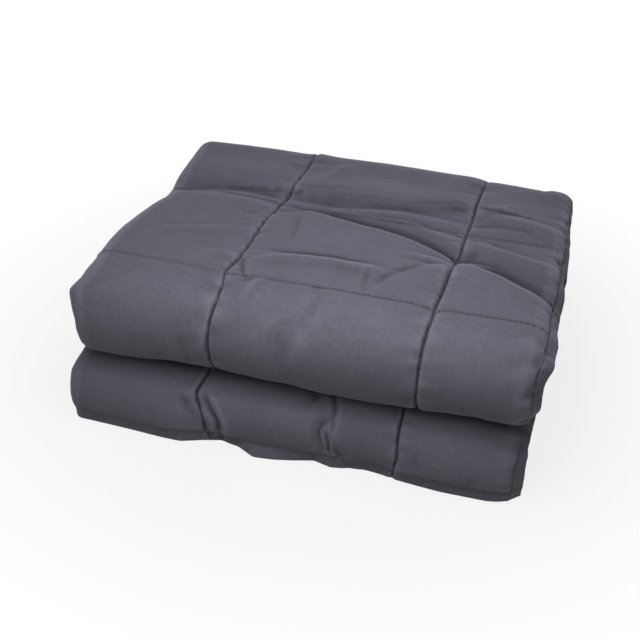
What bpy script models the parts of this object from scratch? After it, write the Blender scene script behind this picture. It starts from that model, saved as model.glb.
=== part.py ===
"""A quilted weighted blanket, folded in three across its width and then six deep along its length.

Metres, +Z up. X runs along the front roll, +Y runs from the front roll to the back fold, and the
origin is on the ground under the middle of the folded bundle.

The blanket is one filled sheet. Across its width it is a ply on the outside (its side hem on the
right), a fold on the left, a ply on the inside, a fold on the right and a ply between the two. The
strip of three plies that this makes goes back and forth through six passes, a little apart.
"""

import math
from collections import namedtuple
from itertools import accumulate

import bmesh
import bpy

# Quilted cells. Across the width they start with a narrow one at the outer side hem. Along the
# length each has its own row here, because the one on top lies gathered in less than its length.
CELL_WIDTH = 0.130
FIRST_CELL_WIDTH = 0.070
CELLS_ACROSS = 7
Cell = namedtuple("Cell", "where lies_in")
CELLS_ALONG = (
    Cell(where="lower front", lies_in=0.1406),
    Cell(where="between the rolls", lies_in=0.1406),
    Cell(where="upper roll", lies_in=0.1407),
    Cell(where="front of the top", lies_in=0.0970),
    Cell(where="back of the top", lies_in=0.1354),
    Cell(where="back and underside", lies_in=0.1354),
    Cell(where="underside", lies_in=0.1354),
    Cell(where="second pass", lies_in=0.1354),
)

# Filled sheet: the gap between two plies of a strip, and how thin the sheet is at seams and hems.
PLY_GAP = 0.0005
SEAM_THICKNESS = 0.0024
HEM_THICKNESS = 0.0020
SEAM_REACH = 0.013
CROWN_SHARE_AT_SEAM_REACH = 0.55
HEM_WIDTH = 0.009

# Each pass of the strip, from the ground up: height of its centre line and spacing of its plies.
Pass = namedtuple("Pass", "height ply_pitch")
PASSES = (
    Pass(height=0.00750, ply_pitch=0.00515),
    Pass(height=0.02320, ply_pitch=0.00515),
    Pass(height=0.03910, ply_pitch=0.00525),
    Pass(height=0.05730, ply_pitch=0.00640),
    Pass(height=0.07690, ply_pitch=0.00640),
    Pass(height=0.09670, ply_pitch=0.00640),
)

# The strip's route. It starts at the end hem on the ground in front, climbs the lower front and
# goes over to the first pass named here. reach is how far forward or back its centre line comes.
HEM_HEIGHT = 0.0003
LOWER_FRONT = -0.1004
FIRST_PASS = 2
LAST_RUN = 0.121
Fold = namedtuple("Fold", "name to_pass reach corner")
FOLDS = (
    Fold(name="inner back turn", to_pass=3, reach=0.0620, corner=None),
    Fold(name="upper front roll", to_pass=5, reach=-0.1007, corner=None),
    Fold(name="outer back fold", to_pass=0, reach=0.1080, corner=0.012),
    Fold(name="lower front turn", to_pass=1, reach=-0.0825, corner=None),
    Fold(name="middle back turn", to_pass=4, reach=0.0850, corner=0.012),
)

# The strip across its width: the ends of its plies and folds on the centre lines.
OUTER_HEM = 0.1455
LEFT_FOLD = -0.1400
RIGHT_FOLD = 0.1410
INNER_HEM = -0.1290

# How uneven the strip is along its length: how far each end stands out, and how far the cells of
# its outer ply rise where nothing lies on them.
Place = namedtuple("Place", "along left right crown")
UNEVEN = (
    Place(along=0.000, left=-0.0050, right=-0.0010, crown=0.0010),
    Place(along=0.030, left=-0.0085, right=0.0005, crown=0.0030),
    Place(along=0.050, left=-0.0030, right=0.0010, crown=0.0000),
    Place(along=0.180, left=0.0020, right=-0.0010, crown=0.0000),
    Place(along=0.310, left=0.0030, right=0.0045, crown=0.0000),
    Place(along=0.355, left=0.0010, right=0.0035, crown=0.0000),
    Place(along=0.392, left=-0.0010, right=0.0020, crown=0.0030),
    Place(along=0.430, left=0.0030, right=0.0005, crown=0.0040),
    Place(along=0.520, left=0.0035, right=-0.0030, crown=0.0045),
    Place(along=0.600, left=-0.0010, right=-0.0090, crown=0.0030),
    Place(along=0.690, left=0.0000, right=-0.0050, crown=0.0000),
    Place(along=0.860, left=-0.0030, right=0.0005, crown=0.0000),
    Place(along=1.000, left=0.0020, right=-0.0030, crown=0.0000),
    Place(along=1.260, left=0.0040, right=0.0020, crown=0.0000),
)
END_FADE = 0.045

# The front of the bundle lies a little askew: how far it moves at each end, by height.
Skew = namedtuple("Skew", "height left right")
ASKEW = (
    Skew(height=0.000, left=-0.0085, right=0.0060),
    Skew(height=0.050, left=-0.0055, right=0.0050),
    Skew(height=0.110, left=-0.0030, right=0.0020),
)
ASKEW_FROM = -0.020
ASKEW_TO = -0.100

# Size of the facets: steps round a fold, the longest step of a run and the shortest step at all.
TURN_STEP = math.radians(36)
RUN_STEP = 0.065
PLY_STEPS = 4
LEFT_FOLD_STEPS = 4
RIGHT_FOLD_STEPS = 4
SHORTEST_STEP = 0.0038
PRESSED_FLAT = 0.0014

CLOTH_COLOUR = (0.105, 0.105, 0.125, 1.0)
CLOTH_ROUGHNESS = 0.85

Leg = namedtuple("Leg", "start length y z heading turn")
Station = namedtuple("Station", "along y z heading ply_pitch")
Column = namedtuple("Column", "across x lift")


def clear_scene():
    for leftover in list(bpy.data.objects):
        bpy.data.objects.remove(leftover, do_unlink=True)


def blend(start, end, share):
    return start + (end - start) * share


def follow(table, by, place, column):
    """Read a column of the table between its rows, by the place in another column."""
    for before, after in zip(table, table[1:]):
        start, end = getattr(before, by), getattr(after, by)
        if place <= end:
            share = max(0.0, (place - start) / (end - start))
            return blend(getattr(before, column), getattr(after, column), share)
    return getattr(table[-1], column)


def leg_point(leg, distance):
    """Place and heading on the centre line, a distance along one leg of the route."""
    if leg.turn == 0.0:
        y = leg.y + distance * math.cos(leg.heading)
        z = leg.z + distance * math.sin(leg.heading)
        return y, z, leg.heading
    radius = leg.length / leg.turn
    heading = leg.heading + distance / radius
    y = leg.y + radius * (math.sin(heading) - math.sin(leg.heading))
    z = leg.z - radius * (math.cos(heading) - math.cos(leg.heading))
    return y, z, heading


def add_leg(legs, length, turn=0.0):
    """Continue the route from its end, straight or round an arc that turns by an angle."""
    last = legs[-1]
    y, z, heading = leg_point(last, last.length)
    legs.append(Leg(last.start + last.length, length, y, z, heading, turn))


def route():
    """The legs of the strip's centre line, and the pass heights where each run of it lies."""
    first = PASSES[FIRST_PASS].height
    turn_height = (PASSES[0].height + PASSES[1].height) / 2
    front_radius = first - turn_height
    climb = turn_height - HEM_HEIGHT
    legs = [Leg(0.0, climb, LOWER_FRONT, HEM_HEIGHT, math.pi / 2, 0.0)]
    add_leg(legs, front_radius * math.pi / 2, -math.pi / 2)
    pitches = [(0.0, PASSES[FIRST_PASS].ply_pitch)]
    here = FIRST_PASS
    for fold in FOLDS:
        rise = PASSES[fold.to_pass].height - PASSES[here].height
        corner = fold.corner or abs(rise) / 2
        y, _, heading = leg_point(legs[-1], legs[-1].length)
        forward = math.copysign(1.0, math.cos(heading))
        run = abs(fold.reach - forward * corner - y)
        add_leg(legs, run)
        pitches.append((legs[-1].start + run, PASSES[here].ply_pitch))
        quarter = math.copysign(math.pi / 2, rise * forward)
        add_leg(legs, corner * math.pi / 2, quarter)
        if abs(rise) > 2 * corner:
            add_leg(legs, abs(rise) - 2 * corner)
        add_leg(legs, corner * math.pi / 2, quarter)
        here = fold.to_pass
        pitches.append((legs[-1].start + legs[-1].length, PASSES[here].ply_pitch))
    add_leg(legs, LAST_RUN)
    return legs, pitches


def pitch_at(pitches, along):
    for (start, first), (end, second) in zip(pitches, pitches[1:]):
        if along <= end:
            return blend(first, second, (along - start) / (end - start))
    return pitches[-1][1]


def lines_along():
    return list(accumulate(cell.lies_in for cell in CELLS_ALONG))


def lines_across():
    return [FIRST_CELL_WIDTH + CELL_WIDTH * index for index in range(CELLS_ACROSS - 1)]


def thinned(places, kept):
    """The places in order, without those too close to a kept one or to the one before."""
    chosen = sorted(kept)
    for place in sorted(places):
        if min(abs(place - other) for other in chosen) > SHORTEST_STEP:
            chosen.append(place)
    return sorted(chosen)


def station_lengths(legs):
    """Flat lengths at which the sheet has a row of corners."""
    end = legs[-1].start + legs[-1].length
    lines = lines_along()
    kept = [0.0, end] + lines
    beside = [line + side * SEAM_REACH for line in lines for side in (-1, 1)]
    places = beside + [HEM_WIDTH, end - HEM_WIDTH]
    for leg in legs:
        step = abs(leg.turn) / TURN_STEP or leg.length / RUN_STEP
        steps = max(1, math.ceil(step))
        places += [leg.start + leg.length * index / steps for index in range(steps + 1)]
    return thinned(places, kept)


def stations():
    legs, pitches = route()
    rows = []
    for along in station_lengths(legs):
        leg = next(leg for leg in reversed(legs) if leg.start <= along + 1e-9)
        y, z, heading = leg_point(leg, min(along - leg.start, leg.length))
        rows.append(Station(along, y, z, heading, pitch_at(pitches, along)))
    return rows


def ply_columns(start, end, lift, across, lines):
    """Corners across one flat ply: at its quilting lines, beside them and between."""
    direction = math.copysign(1.0, end - start)
    length = abs(end - start)
    crossing = [line for line in lines if across + SEAM_REACH < line < across + length - SEAM_REACH]
    places = [line + side * SEAM_REACH for line in crossing for side in (-1, 1)]
    places += [across + length * index / PLY_STEPS for index in range(PLY_STEPS + 1)]
    chosen = thinned(places, crossing + [across, across + length])
    return [Column(place, start + direction * (place - across), lift) for place in chosen]


def fold_columns(x, lift, radius, side, sense, steps, across, pitch):
    """Corners round a fold between two plies, without the plies' own ends."""
    columns = []
    for index in range(1, steps):
        angle = math.pi * index / steps
        height = lift + sense * radius * (1 - math.cos(angle))
        place = x + side * radius * pitch * math.sin(angle)
        columns.append(Column(across + radius * pitch * angle, place, height))
    return columns


def columns():
    """The sheet across its width. lift is in plies off the strip's centre line, outwards."""
    pitch = PASSES[FIRST_PASS].ply_pitch
    lines = lines_across()
    row = ply_columns(OUTER_HEM, LEFT_FOLD, 1.0, 0.0, lines)
    row += fold_columns(LEFT_FOLD, 1.0, 1.0, -1.0, -1.0, LEFT_FOLD_STEPS, row[-1].across, pitch)
    across = OUTER_HEM - LEFT_FOLD + math.pi * pitch
    row += ply_columns(LEFT_FOLD, RIGHT_FOLD, -1.0, across, lines)
    row += fold_columns(RIGHT_FOLD, -1.0, 0.5, 1.0, 1.0, RIGHT_FOLD_STEPS, row[-1].across, pitch)
    across += RIGHT_FOLD - LEFT_FOLD + math.pi * pitch / 2
    return row + ply_columns(RIGHT_FOLD, INNER_HEM, 0.0, across, lines)


def end_shift(along, x):
    """How far the uneven ends move a point of the strip along X."""
    left = follow(UNEVEN, "along", along, "left") * max(0.0, 1 - (x - LEFT_FOLD) / END_FADE)
    right = follow(UNEVEN, "along", along, "right") * max(0.0, 1 - (OUTER_HEM - x) / END_FADE)
    return left + right


def skew(x, y, z):
    """How far the front of the bundle moves along Y."""
    share = min(1.0, max(0.0, (y - ASKEW_FROM) / (ASKEW_TO - ASKEW_FROM)))
    left = follow(ASKEW, "height", z, "left")
    right = follow(ASKEW, "height", z, "right")
    return share * blend(left, right, (x - LEFT_FOLD) / (OUTER_HEM - LEFT_FOLD))


def nearest(value, places):
    return min(abs(value - place) for place in places)


def from_seam(station, column):
    """0 on a quilting line, and 1 from a little way off it."""
    gap = min(nearest(station.along, lines_along()), nearest(column.across, lines_across()))
    return min(1.0, gap / SEAM_REACH)


def crown(station, column):
    """How far an outer cell rises: nothing at its seams and hem, most in its middle."""
    gap = min(
        nearest(station.along, [0.0] + lines_along()),
        nearest(column.across, [0.0] + lines_across()),
    )
    share = math.sin(math.pi / 2 * min(1.0, gap / (CELL_WIDTH / 2)))
    if gap > SEAM_REACH / 2:
        share = max(share, CROWN_SHARE_AT_SEAM_REACH)
    return max(0.0, column.lift) * share * follow(UNEVEN, "along", station.along, "crown")


def sheet_point(station, column):
    out = column.lift * station.ply_pitch + crown(station, column)
    y = station.y - out * math.sin(station.heading)
    z = station.z + out * math.cos(station.heading)
    x = column.x + end_shift(station.along, column.x)
    return x, y + skew(x, y, z), z


def sheet_thickness(station, column, rows, row):
    """Full between the seams, thin at the quilting lines and at the hems."""
    if column is row[0] or column is row[-1] or station is rows[0] or station is rows[-1]:
        return HEM_THICKNESS
    return blend(SEAM_THICKNESS, station.ply_pitch - PLY_GAP, from_seam(station, column))


def folded_sheet(collection):
    """The blanket's middle surface, with its thickness in a vertex group."""
    rows = stations()
    row = columns()
    thickest = max(station.ply_pitch for station in rows)
    shape = bmesh.new()
    bmesh.ops.create_grid(shape, x_segments=len(row) - 1, y_segments=len(rows) - 1, size=1.0)
    shape.verts.ensure_lookup_table()
    corners = [(station, column) for station in rows for column in row]
    for vertex, (station, column) in zip(shape.verts, corners):
        vertex.co = sheet_point(station, column)
    mesh = bpy.data.meshes.new("blanket_sheet")
    shape.to_mesh(mesh)
    shape.free()
    sheet = bpy.data.objects.new("blanket_sheet", mesh)
    collection.objects.link(sheet)
    group = sheet.vertex_groups.new(name="thickness")
    for index, (station, column) in enumerate(corners):
        thickness = sheet_thickness(station, column, rows, row)
        group.add([index], thickness / thickest, "REPLACE")
    return sheet, thickest


def fill(sheet, thickest):
    """Give the sheet its thickness, evenly to both sides."""
    solidify = sheet.modifiers.new("filling", "SOLIDIFY")
    solidify.thickness = thickest
    solidify.offset = 0.0
    solidify.use_even_offset = False
    solidify.vertex_group = "thickness"
    solidify.thickness_vertex_group = 0.0


def press_on_ground(mesh):
    """Lay the underside flat on the ground, and put the origin under the middle of the bundle."""
    shape = bmesh.new()
    shape.from_mesh(mesh)
    bmesh.ops.recalc_face_normals(shape, faces=shape.faces)
    for vertex in shape.verts:
        if vertex.co.z < PRESSED_FLAT:
            vertex.co.z = 0.0
    for axis in (0, 1):
        places = [vertex.co[axis] for vertex in shape.verts]
        middle = (min(places) + max(places)) / 2
        for vertex in shape.verts:
            vertex.co[axis] -= middle
    shape.to_mesh(mesh)
    shape.free()


def cloth_material():
    material = bpy.data.materials.new("charcoal_cloth")
    material.use_nodes = True
    surface = material.node_tree.nodes["Principled BSDF"]
    surface.inputs["Base Color"].default_value = CLOTH_COLOUR
    surface.inputs["Roughness"].default_value = CLOTH_ROUGHNESS
    surface.inputs["Metallic"].default_value = 0.0
    return material


def blanket(collection):
    sheet, thickest = folded_sheet(collection)
    fill(sheet, thickest)
    evaluated = sheet.evaluated_get(bpy.context.evaluated_depsgraph_get())
    mesh = bpy.data.meshes.new_from_object(evaluated)
    bpy.data.objects.remove(sheet, do_unlink=True)
    press_on_ground(mesh)
    mesh.shade_smooth()
    mesh.materials.append(cloth_material())
    mesh.name = "blanket"
    collection.objects.link(bpy.data.objects.new("blanket", mesh))


def main():
    clear_scene()
    collection = bpy.data.collections.new("weighted_blanket")
    bpy.context.scene.collection.children.link(collection)
    blanket(collection)


main()
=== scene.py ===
"""A quilted weighted blanket, folded into a low stack, with its cloth, seams, folds and stitches.

The cloth is one closed sheet with a fine outer face. It lies along the same route as the solid
that it stands for: folded in three across its width, then six deep along its length. Sizes are in
metres. "along" is measured on the strip's route from the end hem in front, and "across" over the
width of the sheet from the side hem of its outer ply.
"""

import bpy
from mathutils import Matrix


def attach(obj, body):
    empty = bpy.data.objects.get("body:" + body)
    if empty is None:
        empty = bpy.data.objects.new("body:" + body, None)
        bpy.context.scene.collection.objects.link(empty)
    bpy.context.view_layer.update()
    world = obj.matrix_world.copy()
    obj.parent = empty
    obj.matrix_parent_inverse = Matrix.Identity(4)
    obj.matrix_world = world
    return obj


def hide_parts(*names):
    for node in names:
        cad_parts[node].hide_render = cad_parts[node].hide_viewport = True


bl_info = {
    "name": "Folded quilted blanket",
    "version": (1, 0, 0),
    "blender": (4, 5, 0),
    "location": "3D View > Sidebar > Blanket",
    "description": "Builds a weighted blanket folded into a stack, with quilting and stitches",
    "category": "Add Mesh",
}

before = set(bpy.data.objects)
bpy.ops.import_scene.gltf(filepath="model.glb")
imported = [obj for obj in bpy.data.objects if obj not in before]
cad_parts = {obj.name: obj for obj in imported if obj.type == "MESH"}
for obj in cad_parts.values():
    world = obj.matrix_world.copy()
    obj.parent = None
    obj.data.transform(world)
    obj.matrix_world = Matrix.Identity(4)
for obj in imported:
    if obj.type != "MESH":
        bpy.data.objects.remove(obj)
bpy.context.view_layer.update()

import math
from collections import namedtuple
from itertools import accumulate

import bpy
import numpy as np
from bpy.props import FloatProperty, FloatVectorProperty, IntProperty, PointerProperty

# Where the middle of the solid's box lies in the route's own coordinates.
ROUTE_MIDDLE = (-0.0036103, 0.0013360)

# The passes of the strip from the ground up, and the folds between them, as in the solid.
Pass = namedtuple("Pass", "height ply_pitch")
PASSES = (
    Pass(height=0.00750, ply_pitch=0.00515),
    Pass(height=0.02320, ply_pitch=0.00515),
    Pass(height=0.03910, ply_pitch=0.00525),
    Pass(height=0.05730, ply_pitch=0.00640),
    Pass(height=0.07690, ply_pitch=0.00640),
    Pass(height=0.09670, ply_pitch=0.00640),
)
HEM_HEIGHT = 0.0003
LOWER_FRONT = -0.1004
FIRST_PASS = 2
LAST_RUN = 0.121
Fold = namedtuple("Fold", "name to_pass reach corner")
FOLDS = (
    Fold(name="inner back turn", to_pass=3, reach=0.0620, corner=None),
    Fold(name="upper front roll", to_pass=5, reach=-0.1007, corner=None),
    Fold(name="outer back fold", to_pass=0, reach=0.1080, corner=0.012),
    Fold(name="lower front turn", to_pass=1, reach=-0.0825, corner=None),
    Fold(name="middle back turn", to_pass=4, reach=0.0850, corner=0.012),
)

# The sheet across the strip. The outer ply's side hem turns down over the end on the right.
OUTER_HEM = 0.1500
LEFT_FOLD = -0.1400
RIGHT_FOLD = 0.1365
INNER_HEM = -0.1290
HEM_TURN_STARTS = 0.0165
HEM_TURN_ENDS = 0.0050
SQUARENESS = 3.0
TOPSTITCH = 0.0078
# How far the painted shade along the seams wanders off them.
SEAM_WANDER = 0.0048
STITCHED_LINES = slice(2, 5)

# Thickness of the sheet.
PLY_GAP = 0.0005
THINNEST_EDGE = 0.08
SEAM_THICKNESS = 0.0038
HEM_THICKNESS = 0.0022
EDGE_ROUNDING = 0.0010
HEM_WIDTH = 0.009
SIDE_CHANNEL = 0.0035
THREAD_GROOVE = 0.0021
THREAD_GROOVE_WIDTH = 0.0009

# Quilting lines. depth is how far a line along the width draws the cloth in, and fades is the
# share of it that is lost in the left cells. channel is the width of its groove.
CELL_WIDTH = 0.130
FIRST_CELL_WIDTH = 0.0745
CELLS_ACROSS = 7
Line = namedtuple("Line", "where cell depth channel fades", defaults=(0.0,))
LINES = (
    Line(where="lower roll", cell=0.1406, depth=1.0, channel=0.005),
    Line(where="between the rolls", cell=0.1406, depth=1.0, channel=0.005),
    Line(where="front of the top", cell=0.1357, depth=0.28, channel=0.002, fades=0.7),
    Line(where="middle of the top", cell=0.0970, depth=0.70, channel=0.011),
    Line(where="back", cell=0.1404, depth=0.9, channel=0.005),
    Line(where="underside", cell=0.1354, depth=0.8, channel=0.005),
    Line(where="second pass", cell=0.1354, depth=0.8, channel=0.005),
    Line(where="fifth pass", cell=0.1354, depth=0.8, channel=0.005),
)
MIDDLE_FOLD = 0.123
SEAMS_ALONG = np.array(list(accumulate(line.cell for line in LINES)))
SEAMS_ACROSS = FIRST_CELL_WIDTH + CELL_WIDTH * np.arange(CELLS_ACROSS - 1)

# How uneven the strip is along its length: how far its ends stand out, how far the two seams that
# show sway to the right, how high the cells of the outer ply are filled, and how far its side hem
# turns down, in degrees.
Place = namedtuple("Place", "along left right sway_left sway_right crown hem_turn")
UNEVEN = tuple(Place(*row) for row in (
    (0.000, -0.0040, -0.0010,  0.0005, -0.008, 0.0005, 40),
    (0.018, -0.0048, -0.0003, -0.0035, -0.005, 0.0020, 45),
    (0.030, -0.0050,  0.0005, -0.0095, -0.006, 0.0030, 50),
    (0.040, -0.0028,  0.0008,  -0.006, -0.006, 0.0015, 60),
    (0.055, -0.0030,  0.0010,  -0.004, -0.006, 0.0000, 60),
    (0.180,  0.0020, -0.0060,   0.000,  0.000, 0.0000, 60),
    (0.310,  0.0030,  0.0020,   0.000,  0.004, 0.0000, 60),
    (0.350,  0.0020,  0.0050,  0.0030,  0.004, 0.0005, 60),
    (0.365,  0.0065,  0.0060,  0.0035,  0.004, 0.0015, 60),
    (0.376,  0.0075,  0.0060,  0.0035,  0.005, 0.0020, 60),
    (0.385,  0.0038,  0.0062,  0.0035,  0.005, 0.0024, 58),
    (0.390,  0.0010,  0.0066,  0.0040,  0.005, 0.0026, 55),
    (0.397,  0.0062,  0.0085,  0.0045,  0.005, 0.0028, 50),
    (0.406,  0.0068,  0.0080,  0.0030,  0.005, 0.0030, 50),
    (0.420,  0.0052,  0.0075, -0.0015,  0.004, 0.0032, 55),
    (0.435,  0.0042,  0.0048,  0.0005,  0.004, 0.0036, 60),
    (0.450,  0.0048,  0.0041,   0.000,  0.004, 0.0040, 60),
    (0.465,  0.0068,  0.0046,   0.000,  0.004, 0.0040, 65),
    (0.480,  0.0100,  0.0034,   0.000,  0.003, 0.0035, 65),
    (0.495,  0.0135,  0.0014,   0.000,  0.003, 0.0028, 65),
    (0.510,  0.0096,  0.0012,   0.000,  0.002, 0.0022, 65),
    (0.525,  0.0096, -0.0008,   0.001,  0.002, 0.0022, 70),
    (0.545,  0.0075, -0.0018,   0.002,  0.001, 0.0025, 70),
    (0.565,  0.0045, -0.0048,   0.002,  0.000, 0.0010, 75),
    (0.583,  0.0015, -0.0082,   0.001,  0.000, 0.0006, 75),
    (0.600, -0.0010, -0.0076,   0.001,  0.000, 0.0003, 75),
    (0.630, -0.0005, -0.0040,   0.000,  0.000, 0.0000, 75),
    (0.690,  0.0000, -0.0032,   0.000,  0.000, 0.0000, 70),
    (0.860, -0.0030, -0.0030,   0.000,  0.000, 0.0000, 60),
    (1.000,  0.0020, -0.0070,   0.000,  0.000, 0.0000, 60),
    (1.090,  0.0020, -0.0070,   0.000,  0.000, 0.0000, 60),
    (1.220,  0.0040,  0.0000,   0.000,  0.000, 0.0000, 60),
))
END_FADE = 0.045
SWAY_FADE = 0.060

# The front of the bundle lies a little askew.
Skew = namedtuple("Skew", "height left right")
ASKEW = (
    Skew(height=0.000, left=-0.0085, right=0.0060),
    Skew(height=0.050, left=-0.0055, right=0.0050),
    Skew(height=0.110, left=-0.0030, right=0.0020),
)
ASKEW_FROM = -0.020
ASKEW_TO = -0.100

# How far the hem on the ground swings forward at places along it, and how far up that reaches.
Swing = namedtuple("Swing", "x forward rise")
HEM_SWINGS = tuple(Swing(*row) for row in (
    (-0.150, 0.0020, 0.034), (-0.139, 0.0020, 0.034), (-0.111, 0.0035, 0.034),
    (-0.085, 0.0054, 0.034), (-0.073, 0.0056, 0.030), (-0.061, 0.0015, 0.020),
    (-0.048, -0.0020, 0.012), (-0.035, 0.0000, 0.012), (-0.022, 0.0072, 0.013),
    (-0.009, 0.0060, 0.013), (0.004, 0.0030, 0.013), (0.016, -0.0005, 0.013),
    (0.028, 0.0028, 0.013), (0.039, 0.0009, 0.018), (0.049, -0.0010, 0.034),
    (0.059, 0.0001, 0.034), (0.071, 0.0025, 0.034), (0.084, 0.0042, 0.034),
    (0.099, 0.0056, 0.034), (0.128, 0.0058, 0.034), (0.140, 0.0042, 0.034),
    (0.151, 0.0010, 0.034),
))

# The stretches of the outer ply that show: the lower front, and the upper roll, top and back.
SHOWN = ((0.000, 0.058), (0.340, 0.700))

# Where the strip comes round to the back face, which has little detail.
BACK_FACE = (0.605, 0.625)

# Soft unevenness of the filling and the cloth: size of the waves and their height.
Wave = namedtuple("Wave", "size height seed")
WAVES = (
    Wave(size=0.046, height=0.0010, seed=3),
    Wave(size=0.021, height=0.0004, seed=8),
    Wave(size=0.009, height=0.00012, seed=5),
)

# The channels beside the seams: how their width varies, as a share, the form of their sides, and
# over what width the front line's channel fades. Then the form of the filled cells between them.
CHANNEL_WAVE = Wave(size=0.016, height=0.25, seed=21)
CHANNEL_FORM = 0.9
FADE_WIDTH = 0.008
DOME_FORM = 0.35

# The ripples beside the stitches: the lattice rows of the two sides of a seam and of the next seam,
# the second, smaller ripples as shares of the first, and how the ripples slant and start.
PUCKER_ROWS = (3.5, 0.5)
PUCKER_ROWS_APART = 7
PUCKER_SEED = 31
SMALL_PUCKERS = Wave(size=0.45, height=0.5, seed=37)
PUCKER_SLANT = 0.25
PUCKER_STARTS = 0.0012

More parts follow.
